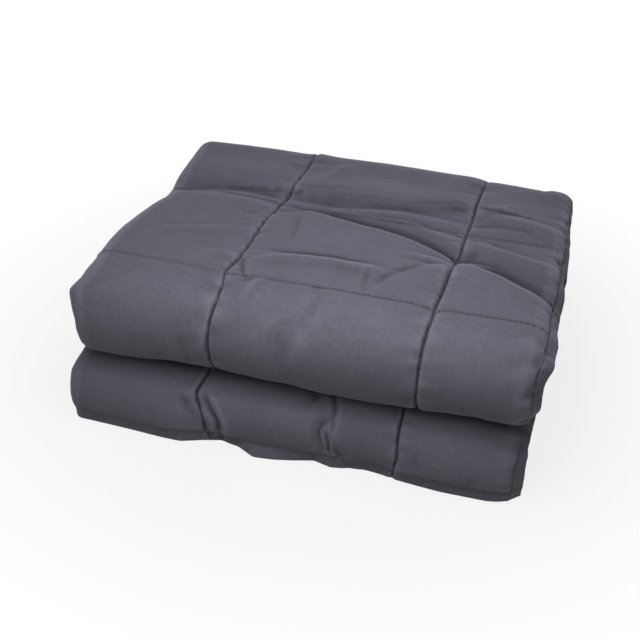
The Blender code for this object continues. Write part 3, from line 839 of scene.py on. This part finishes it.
def thin_hidden(sheet, group, most_triangles):
    """Merge the corners of the hidden parts until the piece has at most so many triangles."""
    sheet.data.calc_loop_triangles()
    decimate = sheet.modifiers.new("thin", "DECIMATE")
    decimate.decimate_type = "COLLAPSE"
    decimate.vertex_group = group.name
    decimate.ratio = most_triangles / len(sheet.data.loop_triangles)
    decimate.use_collapse_triangulate = True
    apply_modifiers(sheet)


def apply_modifiers(piece):
    """Turn what the modifiers give into the object's own plain mesh."""
    evaluated = piece.evaluated_get(bpy.context.evaluated_depsgraph_get())
    mesh = bpy.data.meshes.new_from_object(evaluated)
    piece.modifiers.clear()
    piece.data = mesh
    mesh.name = piece.name


def corner_places(mesh):
    places = np.zeros(len(mesh.vertices) * 3)
    mesh.vertices.foreach_get("co", places)
    return places.reshape(-1, 3)


def keep_above_ground(piece):
    places = corner_places(piece.data)
    places[:, 2] = np.maximum(places[:, 2], 0.0)
    piece.data.vertices.foreach_set("co", places.ravel())
    piece.data.update()


def mark_hollows(piece):
    """Give each corner its depth below the surface, as smoothed for each kind of hollow."""
    mesh = piece.data
    count = len(mesh.vertices)
    places, normals = corner_places(mesh), np.zeros(count * 3)
    mesh.vertex_normals.foreach_get("vector", normals)
    normals = normals.reshape(-1, 3)
    edges = np.zeros(len(mesh.edges) * 2, dtype=int)
    mesh.edges.foreach_get("vertices", edges)
    edges = edges.reshape(-1, 2)
    ends, others = edges.ravel(), edges[:, ::-1].ravel()
    degree = np.maximum(np.bincount(ends, minlength=count), 1)
    smoothed, done = places.copy(), 0
    for hollow in HOLLOWS:
        for _ in range(hollow.rounds - done):
            total = [np.bincount(ends, weights=part, minlength=count) for part in smoothed[others].T]
            smoothed = (smoothed + np.stack(total, -1) / degree[:, None]) / 2
        done = hollow.rounds
        depth = np.sum((smoothed - places) * normals, axis=1) / hollow.depth
        values = mesh.attributes.new(hollow.name, "FLOAT", "POINT").data
        values.foreach_set("value", np.clip(depth, -1.0, 1.0))


def mark_shaded(piece):
    """Give each corner of the outer ply its painted shade between and behind the folds, or painted light.
    """
    mesh = piece.data
    places, corners = np.zeros(len(mesh.loops) * 2), np.zeros(len(mesh.loops), dtype=int)
    mesh.uv_layers["flat"].data.foreach_get("uv", places)
    mesh.loops.foreach_get("vertex_index", corners)
    flat = np.zeros((len(mesh.vertices), 2))
    flat[corners] = places.reshape(-1, 2)
    across, along = flat.T
    x = ply_section(along, across, pitch_at(along))[0]
    shaded = creases(along, x, SHADED) / MILLIMETRE * outer_share(across)
    mesh.attributes.new("shaded", "FLOAT", "POINT").data.foreach_set("value", shaded)


def softened(corners, along, across):
    """Smooth the steps that slanting creases leave on the grid, away from the stitches."""
    over = smooth(*SOFT_FROM_SEAMS, nearest(across, np.append(SEAMS_ACROSS, HEM_WIDTH)))
    beside = smooth(*SOFT_FROM_LINES, nearest(along, np.append(SEAMS_ALONG, TOPSTITCH)))
    share = SOFTENING * over * beside * outer_share(across) * shown_share(along)
    for _ in range(SOFTENING_ROUNDS):
        wide = np.pad(corners, ((1, 1), (1, 1), (0, 0)), mode="edge")
        around = wide[:-2, 1:-1] + wide[2:, 1:-1] + wide[1:-1, :-2] + wide[1:-1, 2:]
        corners = corners + share[:, :, None] * (around / 4 - corners)
    return corners


def blanket_piece(settings):
    rows, columns = rows_along(settings), columns_across(settings)
    along, across = np.meshgrid(rows, columns, indexing="ij")
    outer = softened(face(along, across, settings), along, across)
    inner = face(along, across, settings, outward=-1.0)
    flat = np.stack([across, along], axis=-1)
    mesh = closed_sheet("quilted_blanket", outer, inner, flat)
    sheet = bpy.data.objects.new("quilted_blanket", mesh)
    bpy.context.scene.collection.objects.link(sheet)
    shown = shown_share(along) * (across < OUTER_END + LEFT_TURN / 2)
    ends = (across < HEM_TURN_STARTS) | (nearest(across, [OUTER_END, INNER_START]) < NEAR_LEFT_TURN)
    ends |= nearest(across, [INNER_END, MIDDLE_START]) < NEAR_RIGHT_TURN
    hidden = np.where(shown > 0.01, 0.0, np.where(ends, THINNED_LESS, THINNED))
    group = sheet.vertex_groups.new(name="hidden")
    weights = np.concatenate([hidden.ravel(), np.full(hidden.size, THINNED)])
    for value in (THINNED_LESS, THINNED):
        group.add([int(i) for i in np.flatnonzero(weights == value)], value, "REPLACE")
    thin_hidden(sheet, group, settings.most_triangles)
    keep_above_ground(sheet)
    mark_hollows(sheet)
    mark_shaded(sheet)
    return sheet


# ---- stitches

def quilting_runs():
    """The quilting lines that show, each from one flat place (across, along) to another."""
    runs = [(seam, low, seam, high) for seam in SEAMS_ACROSS[:2] for low, high in SHOWN]
    end = OUTER_END + LEFT_TURN / 4
    return runs + [(TOPSTITCH, along, end, along) for along in SEAMS_ALONG[STITCHED_LINES]]


def hem_runs():
    """The topstitching of the end hem, and of the side hem where it shows."""
    runs = [(TOPSTITCH, low, TOPSTITCH, high) for low, high in SHOWN]
    return [(TOPSTITCH, TOPSTITCH, OUTER_END + LEFT_TURN / 4, TOPSTITCH)] + runs


def stitch_places(run, settings):
    """Where the stitches of a run lie, which way each one runs, and which way is outward."""
    start, end = np.array(run[:2]), np.array(run[2:])
    length = math.hypot(*(end - start))
    way = (end - start) / length
    places = length * (np.arange(round(length / settings.stitch_pitch)) + 0.5)
    places = places / len(places)
    across, along = (start + way * places[:, None]).T
    half = way * settings.stitch_length / 2
    tail = face(along - half[1], across - half[0], settings)
    head = face(along + half[1], across + half[0], settings)
    out = face(along, across, settings) - face(along, across, settings, outward=-1.0)
    out /= np.linalg.norm(out, axis=1)[:, None]
    middle = (tail + head) / 2 + out * settings.stitch_width * THREAD_LIFT
    return middle, head - tail, out


THREAD_FACETS = {"Segments": 6, "Rings": 4, "Radius": 0.5}
THREAD_LIFT = 0.25


def stitch_tree():
    """Lays one thread, with a slight turn of its own, at every corner of the mesh it is given."""
    tree = bpy.data.node_groups.new("stitches", "GeometryNodeTree")
    kinds = {"Places": "Geometry", "Stitch Length": "Float", "Stitch Width": "Float",
             "Uneven Turn": "Float", "Seed": "Int", "Thread": "Material"}
    for name, kind in kinds.items():
        tree.interface.new_socket(name, in_out="INPUT", socket_type="NodeSocket" + kind)
    tree.interface.new_socket("Stitches", in_out="OUTPUT", socket_type="NodeSocketGeometry")
    entry = tree.nodes.new("NodeGroupInput")
    given = {name: Value(tree, entry.outputs[name]) for name in kinds}
    width = given["Stitch Width"]
    size = node(tree, "ShaderNodeCombineXYZ", {}, {0: given["Stitch Length"], 1: width, 2: width})
    thread = node(tree, "GeometryNodeMeshUVSphere", {}, THREAD_FACETS)
    thread = node(tree, "GeometryNodeTransform", {}, {"Geometry": thread, "Scale": size})
    thread = node(tree, "GeometryNodeSetShadeSmooth", {}, {"Geometry": thread})
    run, out = (
        node(tree, "GeometryNodeInputNamedAttribute", {"data_type": "FLOAT_VECTOR"}, {"Name": name})
        for name in ("run", "out")
    )
    axes = {"primary_axis": "X", "secondary_axis": "Z"}
    laid = {"Primary Axis": run, "Secondary Axis": out}
    turn = node(tree, "FunctionNodeAxesToRotation", axes, laid)
    limits = {2: -1.0 * given["Uneven Turn"], 3: given["Uneven Turn"], "Seed": given["Seed"]}
    angle = node(tree, "FunctionNodeRandomValue", {"data_type": "FLOAT"}, limits, output=1)
    own = node(tree, "FunctionNodeAxisAngleToRotation", {}, {"Axis": (0, 0, 1), "Angle": angle})
    turns = {"Rotation": turn, "Rotate By": own}
    turn = node(tree, "FunctionNodeRotateRotation", {"rotation_space": "LOCAL"}, turns)
    copies = {"Points": given["Places"], "Instance": thread, "Rotation": turn}
    stitches = node(tree, "GeometryNodeInstanceOnPoints", {}, copies)
    stitches = node(tree, "GeometryNodeRealizeInstances", {}, {"Geometry": stitches})
    finish = {"Geometry": stitches, "Material": given["Thread"]}
    stitches = node(tree, "GeometryNodeSetMaterial", {}, finish)
    tree.links.new(stitches.socket, tree.nodes.new("NodeGroupOutput").inputs["Stitches"])
    return tree


def stitches_piece(name, runs, settings, thread):
    """All stitches of some runs, as one plain mesh."""
    laid = [stitch_places(run, settings) for run in runs]
    places, ways, outs = (np.vstack(part) for part in zip(*laid))
    mesh = bpy.data.meshes.new(name)
    mesh.vertices.add(len(places))
    mesh.vertices.foreach_set("co", places.ravel())
    for attribute, vectors in (("run", ways), ("out", outs)):
        data = mesh.attributes.new(attribute, "FLOAT_VECTOR", "POINT").data
        data.foreach_set("vector", vectors.ravel())
    piece = bpy.data.objects.new(name, mesh)
    bpy.context.scene.collection.objects.link(piece)
    modifier = piece.modifiers.new("stitches", "NODES")
    modifier.node_group = stitch_tree()
    values = {"Stitch Length": settings.stitch_length, "Stitch Width": settings.stitch_width,
              "Uneven Turn": settings.uneven_turn, "Seed": settings.stitch_seed, "Thread": thread}
    for socket in modifier.node_group.interface.items_tree:
        if socket.name in values:
            modifier[socket.identifier] = values[socket.name]
    apply_modifiers(piece)
    keep_above_ground(piece)
    return piece


# ---- materials

# Unevenness of the cloth's dye and nap, of the painted shade along its seams, and of the thread.
Texture = namedtuple("Texture", "name scale detail roughness")
CLOTH_TEXTURES = (
    Texture("cloudy", 45.0, 3.0, 0.6),
    Texture("mottled", 330.0, 3.0, 0.7),
    Texture("fine", 900.0, 2.0, 0.7),
    Texture("grain", 2600.0, 1.0, 0.5),
    Texture("crinkles", 160.0, 4.0, 0.65),
    Texture("wander of the seams", 210.0, 1.0, 0.5),
)
THREAD_TONE = Texture("tone from stitch to stitch", 420.0, 2.0, 0.6)
THREAD_TWIST = Texture("twist", 3200.0, 1.0, 0.5)

# The painted highlight, pale, dark and painted shade colours of the cloth, and the dark and pale
# thread, as shares of their colours. Then the shares of the textures in the cloth's tone, and the
# most that the painted shade darkens.
CLOTH_SHADES = (2.2, 1.45, 0.55, 0.12)
THREAD_SHADES = (0.75, 1.25)
CLOUDY_TONE, MOTTLED_TONE, FINE_TONE = 0.24, 0.42, 0.34
DEEPEST_PAINTED_SHADE = 0.9

# The bumps of the weave and the textures, and how rough and how shiny the cloth is.
WEAVE_BUMP, FINE_BUMP, GRAIN_BUMP, CRINKLE_BUMP = 0.4, 1.4, 0.8, 5.0
CLOTH_BUMPS = {"strength": 0.6, "distance": 0.00025}
THREAD_BUMPS = {"strength": 0.5, "distance": 0.0001}
ROUGHNESS, CLOUDY_ROUGHNESS = 0.72, 0.14
SHEEN_ROUGHNESS, SHEEN_TINT, CLOTH_SPECULAR = 0.45, (0.80, 0.84, 1.0, 1.0), 0.30
THREAD_ROUGHNESS = 0.6
FLOOR_ROUGHNESS = 0.9


class Value:
    """A shader socket that sums and products can be written with."""

    def __init__(self, tree, socket):
        self.tree = tree
        self.socket = socket

    def math(self, operation, *others):
        inputs = dict(enumerate((self, *others)))
        return node(self.tree, "ShaderNodeMath", {"operation": operation}, inputs)

    def __add__(self, other):
        return self.math("ADD", other)

    def __sub__(self, other):
        return self.math("SUBTRACT", other)

    def __rsub__(self, other):
        return node(self.tree, "ShaderNodeMath", {"operation": "SUBTRACT"}, {0: other, 1: self})

    def __mul__(self, other):
        return self.math("MULTIPLY", other)

    def __truediv__(self, other):
        return self.math("DIVIDE", other)

    def at_most(self, other):
        return self.math("MINIMUM", other)

    def at_least(self, other):
        return self.math("MAXIMUM", other)

    __radd__, __rmul__ = __add__, __mul__


def give(tree, sockets, inputs):
    """Link or set the sockets of a node, by their names or numbers."""
    for name, value in inputs.items():
        if isinstance(value, Value):
            tree.links.new(value.socket, sockets[name])
        else:
            sockets[name].default_value = value


def node(tree, kind, settings=None, inputs=None, output=0):
    """Add a node, with its settings first and then the values or links of its sockets."""
    added = tree.nodes.new(kind)
    for name, value in (settings or {}).items():
        setattr(added, name, value)
    give(tree, added.inputs, inputs or {})
    return Value(tree, added.outputs[output])


def noise(tree, place, texture):
    inputs = {"Vector": place, "Scale": texture.scale, "Detail": texture.detail,
              "Roughness": texture.roughness}
    return node(tree, "ShaderNodeTexNoise", {}, inputs)


def mix_colour(tree, share, first, second):
    inputs = {"Factor": share, 6: first, 7: second}
    return node(tree, "ShaderNodeMix", {"data_type": "RGBA"}, inputs, output=2)


def bumps(tree, height, strength, distance):
    inputs = {"Strength": strength, "Distance": distance, "Height": height}
    return node(tree, "ShaderNodeBump", {}, inputs)


def new_material(name):
    material = bpy.data.materials.new(name)
    material.use_nodes = True
    tree = material.node_tree
    return material, tree, tree.nodes["Principled BSDF"]


def shade(colour, factor):
    return (*(min(1.0, channel * factor) for channel in colour[:3]), 1.0)


def line_share(place, lines, width):
    """1 on lines at some places, fading out over a width beside them."""
    gaps = [(place - line).math("ABSOLUTE") for line in lines]
    gap = gaps[0]
    for other in gaps[1:]:
        gap = gap.at_most(other)
    return (-1.0 * (gap / width).math("POWER", 2.0)).math("EXPONENT")


def cloth_material(settings):
    """Smooth brushed cloth: fine weave, soft sheen, slightly uneven dye, painted shade and highlights."""
    material, tree, surface = new_material("charcoal_cloth")
    flat = node(tree, "ShaderNodeUVMap", {"uv_map": "flat"})
    across = node(tree, "ShaderNodeSeparateXYZ", {}, {0: flat})
    along = Value(tree, across.socket.node.outputs[1])
    cloudy, mottled, fine, grain, crinkles, wander = (
        noise(tree, flat, texture) for texture in CLOTH_TEXTURES
    )
    fold, dip, hollow, shaded = (
        node(tree, "ShaderNodeAttribute", {"attribute_name": name}, output=2)
        for name in (*(kind.name for kind in HOLLOWS), "shaded")
    )
    tone = 2.0 * (CLOUDY_TONE * cloudy + MOTTLED_TONE * mottled + FINE_TONE * fine) - 0.5
    painted_highlight_colour, pale, dark, painted_shade_colour = (
        shade(settings.cloth_colour, factor) for factor in CLOTH_SHADES
    )
    # Painted shade in the sharp folds and broad hollows, left out at the end hem.
    low = settings.fold_painted_shade * fold.at_least(0.0)
    low = low + settings.hollow_painted_shade * (dip.at_least(0.0) + hollow.at_least(0.0))
    low = low * (1.0 - line_share(along, [HEM_WIDTH], HEM_WITHOUT_PAINTED_SHADE))
    # Painted shade between the rolls and behind the lips of the top.
    low = low + settings.shaded_darkness * shaded.at_least(0.0)
    # Painted highlight on the sharp crests.
    high = settings.crest_painted_highlight * (-1.0 * fold - CREST_HIGHLIGHT_STARTS).at_least(0.0)
    # Painted light over the front of the lower roll.
    high = high + (-1.0 * shaded).at_least(0.0)
    # Painted shade in the seam grooves, wandering a little off the seam lines.
    seams = line_share(across + SEAM_WANDER * (wander - 0.5), SEAMS_ACROSS[:2], settings.seam_painted_shade_width)
    # Painted shade in the needle holes of the stitched lines.
    holes = line_share(along, SEAMS_ALONG[STITCHED_LINES], settings.hole_size)
    holes = holes * (0.5 + 0.5 * (across * (2 * math.pi / settings.stitch_pitch)).math("SINE"))
    colour = mix_colour(tree, tone, dark, pale)
    # Painted shade, then painted highlight, then the painted shade of the seams and needle holes.
    colour = mix_colour(tree, low.at_most(DEEPEST_PAINTED_SHADE), colour, painted_shade_colour)
    colour = mix_colour(tree, high, colour, painted_highlight_colour)
    seam_and_hole_shade = settings.seam_painted_shade * seams + settings.hole_painted_shade * holes
    colour = mix_colour(tree, seam_and_hole_shade, colour, painted_shade_colour)
    pitch = 2 * math.pi / settings.weave_pitch
    weave = (across * pitch).math("SINE") * (along * pitch).math("SINE")
    height = WEAVE_BUMP * weave + FINE_BUMP * fine + GRAIN_BUMP * grain + CRINKLE_BUMP * crinkles
    give(tree, surface.inputs, {
        "Base Color": colour, "Roughness": ROUGHNESS + CLOUDY_ROUGHNESS * cloudy,
        "Normal": bumps(tree, height, **CLOTH_BUMPS), "Specular IOR Level": CLOTH_SPECULAR,
        "Sheen Weight": settings.sheen, "Sheen Roughness": SHEEN_ROUGHNESS, "Sheen Tint": SHEEN_TINT,
    })
    return material


def thread_material(name, colour):
    """Spun thread, with a slight change of tone from stitch to stitch."""
    material, tree, surface = new_material(name)
    place = node(tree, "ShaderNodeTexCoord", output=3)
    tone, twist = (noise(tree, place, texture) for texture in (THREAD_TONE, THREAD_TWIST))
    blend = mix_colour(tree, tone, *(shade(colour, factor) for factor in THREAD_SHADES))
    bump = bumps(tree, twist, **THREAD_BUMPS)
    give(tree, surface.inputs, {"Base Color": blend, "Normal": bump, "Roughness": THREAD_ROUGHNESS})
    return material


def floor_material(settings):
    """A floor with painted light: it glows white, less so under the blanket, so its shadows stay faint."""
    material, tree, surface = new_material("pale_floor")
    place = node(tree, "ShaderNodeTexCoord", output=3)
    away = node(tree, "ShaderNodeVectorMath", {"operation": "LENGTH"}, {0: place}, output=1)
    share = ((away - GLOW_FROM) / (GLOW_TO - GLOW_FROM)).at_least(0.0).at_most(1.0)
    under = (*(settings.floor_glow,) * 3, 1.0)
    give(tree, surface.inputs, {
        "Base Color": settings.floor_colour, "Roughness": FLOOR_ROUGHNESS,
        "Specular IOR Level": 0.0, "Emission Strength": 1.0,
        "Emission Color": mix_colour(tree, share, under, (*WHITE, 1.0)),
    })
    return material


# ---- the stage

CAMERA_PLACE = (0.1966, -0.6093, 0.475)
CAMERA_PITCH = math.radians(34.5)
CAMERA_AZIMUTH = math.radians(19.0)
CAMERA_LENS = 1107 / 640 * 36
CAMERA_NEAREST = 0.01
LAMPS_AIM = (0, 0, 0.05)
FLOOR_SIZE = 6.0
# Distances from the middle over which the floor's painted glow rises from the floor glow to white.
GLOW_FROM = 0.16
GLOW_TO = 0.36


def stage_floor(settings):
    bpy.ops.mesh.primitive_plane_add(size=FLOOR_SIZE, location=(0, 0, 0))
    floor = bpy.context.object
    floor.name = "studio_floor"
    floor.data.materials.append(floor_material(settings))
    floor.visible_diffuse = False


def stage_camera():
    camera = bpy.data.objects.new("camera", bpy.data.cameras.new("camera"))
    camera.location = CAMERA_PLACE
    camera.rotation_euler = (math.pi / 2 - CAMERA_PITCH, 0, CAMERA_AZIMUTH)
    camera.data.lens = CAMERA_LENS
    camera.data.clip_start = CAMERA_NEAREST
    bpy.context.scene.collection.objects.link(camera)
    bpy.context.scene.camera = camera


def aim(light, target):
    direction = np.array(target) - np.array(light.location)
    flat = math.hypot(direction[0], direction[1])
    light.rotation_euler = (math.atan2(flat, -direction[2]), 0, math.atan2(-direction[0], direction[1]))


Lamp = namedtuple("Lamp", "name place size watts colour")
WHITE = (1.0, 1.0, 1.0)
WARM = (1.0, 0.97, 0.90)
LAMPS = (
    Lamp(name="near", place=(0.04, -0.12, 0.38), size=0.22, watts=0.78, colour=WHITE),
    Lamp(name="over_front", place=(0.02, -0.32, 0.40), size=0.25, watts=0.52, colour=WARM),
    Lamp(name="low", place=(0.02, -0.80, 0.16), size=0.45, watts=1.00, colour=WARM),
    Lamp(name="window", place=(-0.8, 0.8, 1.1), size=0.6, watts=0.5, colour=WHITE),
    Lamp(name="right", place=(1.2, -0.1, 0.40), size=0.6, watts=0.8, colour=WHITE),
    Lamp(name="left", place=(-1.3, 0.1, 0.30), size=0.6, watts=0.9, colour=WHITE),
    Lamp(name="back", place=(0.1, 1.3, 0.28), size=0.6, watts=1.5, colour=WHITE),
)


def backdrop(settings):
    """White surroundings, which show behind the floor but light nothing."""
    world = bpy.data.worlds.new("studio")
    world.use_nodes = True
    background = world.node_tree.nodes["Background"]
    background.inputs["Color"].default_value = (*WHITE, 1.0)
    background.inputs["Strength"].default_value = settings.surroundings
    world.cycles_visibility.diffuse = False
    return world


def stage_lights(settings):
    for lamp in LAMPS:
        data = bpy.data.lights.new(lamp.name, "AREA")
        data.shape = "DISK"
        data.size = lamp.size
        data.energy = lamp.watts * settings.light
        data.color = lamp.colour
        light = bpy.data.objects.new(lamp.name, data)
        light.visible_camera = False
        light.location = lamp.place
        aim(light, LAMPS_AIM)
        bpy.context.scene.collection.objects.link(light)
    bpy.context.scene.world = backdrop(settings)
    bpy.context.scene.view_settings.view_transform = "Standard"


# ---- the add-on

def shorter(kind, **fixed):
    """A property of one kind, to be written as its name, description, default and limits."""
    def written(name, description, default, **limits):
        return kind(name=name, description=description, default=default, **fixed, **limits)
    return written


Length = shorter(FloatProperty, unit="LENGTH")
Angle = shorter(FloatProperty, subtype="ANGLE")
Share = shorter(FloatProperty, subtype="FACTOR", min=0.0)
Strength = shorter(FloatProperty, min=0.0)
Count = shorter(IntProperty, min=0)
Colour = shorter(FloatVectorProperty, subtype="COLOR", size=4, min=0.0, max=1.0)


class BlanketSettings(bpy.types.PropertyGroup):
    fine_step: Length("Fine Step", "Spacing of the corners where the cloth shows", 0.00135, min=0.0005)
    hidden_step: Length(
        "Hidden Step", "Spacing of the corners along the hidden passes", 0.0055, min=0.002,
    )
    most_triangles: Count("Most Triangles", "Triangles that the blanket keeps", 196000)
    channel_width: Length(
        "Channel Width", "How soon the filling rises beside a quilting line", 0.0010, min=0.0005,
    )
    crease_scale: Share("Crease Scale", "Height of the folds and wrinkles, as a share", 1.35)
    pucker_height: Length("Pucker Height", "Height of the ripples beside the stitches", 0.0022, min=0.0)
    pucker_size: Length("Pucker Size", "Spacing of the ripples beside the stitches", 0.0065, min=0.001)
    pucker_reach: Length(
        "Pucker Reach", "How far the ripples run out from the stitches", 0.0060, min=0.001,
    )
    stitch_pitch: Length("Stitch Pitch", "Spacing of the stitches", 0.0031, min=0.001)
    stitch_length: Length("Stitch Length", "Length of a stitch that shows", 0.0023, min=0.0005)
    stitch_width: Length("Stitch Width", "Width of the thread", 0.0005, min=0.0001)
    uneven_turn: Angle("Uneven Turn", "How far a stitch may turn off its line", 0.12)
    stitch_seed: Count("Stitch Seed", "Picks the uneven turns of the stitches", 4)
    quilting_thread: Colour(
        "Quilting Thread", "Colour of the quilting thread", (0.105, 0.103, 0.118, 1.0),
    )
    hem_thread: Colour("Hem Thread", "Colour of the hem's thread", (0.190, 0.170, 0.170, 1.0))
    cloth_colour: Colour("Cloth Colour", "Colour of the cloth", (0.098, 0.098, 0.130, 1.0))
    # Painted shade along the quilting lines, and its width.
    seam_painted_shade: Share("Soiling", "How much darker the cloth is in the quilting lines", 0.74, max=1.0)
    seam_painted_shade_width: Length(
        "Soiling Width", "Half the width of the darker quilting lines", 0.0010, min=0.0001,
    )
    # Painted shade in the sharp and broad hollows.
    fold_painted_shade: Share("Fold Darkness", "How much darker the sharp hollows are", 0.55, max=1.0)
    hollow_painted_shade: Share("Hollow Darkness", "How much darker the broad hollows are", 0.30, max=1.0)
    shaded_darkness: Share(
        "Shaded Darkness", "Strength of the shade between and behind the folds", 1.0,
    )
    # Painted highlight on the sharp folds.
    crest_painted_highlight: Share("Crest Lightness", "How much lighter the sharp folds are", 0.5, max=1.0)
    hole_size: Length(
        "Hole Size", "Half the width of the needle holes in a stitched line", 0.0011, min=0.0001,
    )
    # Painted shade in the needle holes.
    hole_painted_shade: Share("Hole Darkness", "How dark the needle holes are", 0.95, max=1.0)
    sheen: Share("Sheen", "Soft shine of the brushed cloth", 0.25, max=1.0)
    weave_pitch: Length("Weave Pitch", "Spacing of two like threads", 0.0007)
    floor_colour: Colour("Floor Colour", "Colour of the studio floor", (0.10, 0.10, 0.10, 1.0))
    floor_glow: Strength("Floor Glow", "Light of the floor under the blanket", 0.84)
    light: Strength("Light", "Strength of the studio lamps, as a share", 1.0)
    surroundings: Strength("Surroundings", "Brightness of the backdrop", 1.0)


class BLANKET_OT_cloth(bpy.types.Operator):
    """Make the folded, filled and quilted cloth"""

    bl_idname = "blanket.cloth"
    bl_label = "Quilted Cloth"

    def execute(self, context):
        settings = context.scene.blanket
        sheet = blanket_piece(settings)
        sheet.data.materials.clear()
        sheet.data.materials.append(cloth_material(settings))
        ride_with_cloth(sheet)
        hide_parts("blanket")
        return {"FINISHED"}


def ride_with_cloth(piece):
    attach(piece, "root")


class BLANKET_OT_quilting(bpy.types.Operator):
    """Sew the stitches of the quilting lines"""

    bl_idname = "blanket.quilting"
    bl_label = "Quilting Stitches"

    def execute(self, context):
        settings = context.scene.blanket
        thread = thread_material("quilting_thread", settings.quilting_thread)
        ride_with_cloth(stitches_piece("quilting_stitches", quilting_runs(), settings, thread))
        return {"FINISHED"}


class BLANKET_OT_hem_stitches(bpy.types.Operator):
    """Sew the topstitching of the hems"""

    bl_idname = "blanket.hem_stitches"
    bl_label = "Hem Stitches"

    def execute(self, context):
        settings = context.scene.blanket
        thread = thread_material("hem_thread", settings.hem_thread)
        ride_with_cloth(stitches_piece("hem_stitches", hem_runs(), settings, thread))
        return {"FINISHED"}


class BLANKET_OT_stage(bpy.types.Operator):
    """Make the floor, the soft studio light and the camera"""

    bl_idname = "blanket.stage"
    bl_label = "Stage"

    def execute(self, context):
        settings = context.scene.blanket
        stage_floor(settings)
        stage_camera()
        stage_lights(settings)
        return {"FINISHED"}


PIECES = (BLANKET_OT_stage, BLANKET_OT_cloth, BLANKET_OT_quilting, BLANKET_OT_hem_stitches)


class BLANKET_PT_panel(bpy.types.Panel):
    """Lists the pieces of the blanket and its sizes"""

    bl_label = "Blanket"
    bl_idname = "BLANKET_PT_panel"
    bl_space_type = "VIEW_3D"
    bl_region_type = "UI"
    bl_category = "Blanket"

    def draw(self, context):
        for piece in PIECES:
            self.layout.operator(piece.bl_idname)
        for name in BlanketSettings.__annotations__:
            self.layout.prop(context.scene.blanket, name)


CLASSES = (BlanketSettings, *PIECES, BLANKET_PT_panel)


def register():
    for kind in CLASSES:
        bpy.utils.register_class(kind)
    bpy.types.Scene.blanket = PointerProperty(type=BlanketSettings)


def unregister():
    del bpy.types.Scene.blanket
    for kind in reversed(CLASSES):
        bpy.utils.unregister_class(kind)


def write_sizes():
    bpy.context.view_layer.update()


def main():
    register()
    bpy.ops.blanket.stage()
    bpy.ops.blanket.cloth()
    bpy.ops.blanket.quilting()
    bpy.ops.blanket.hem_stitches()
    write_sizes()


if __name__ == "__main__":
    main()
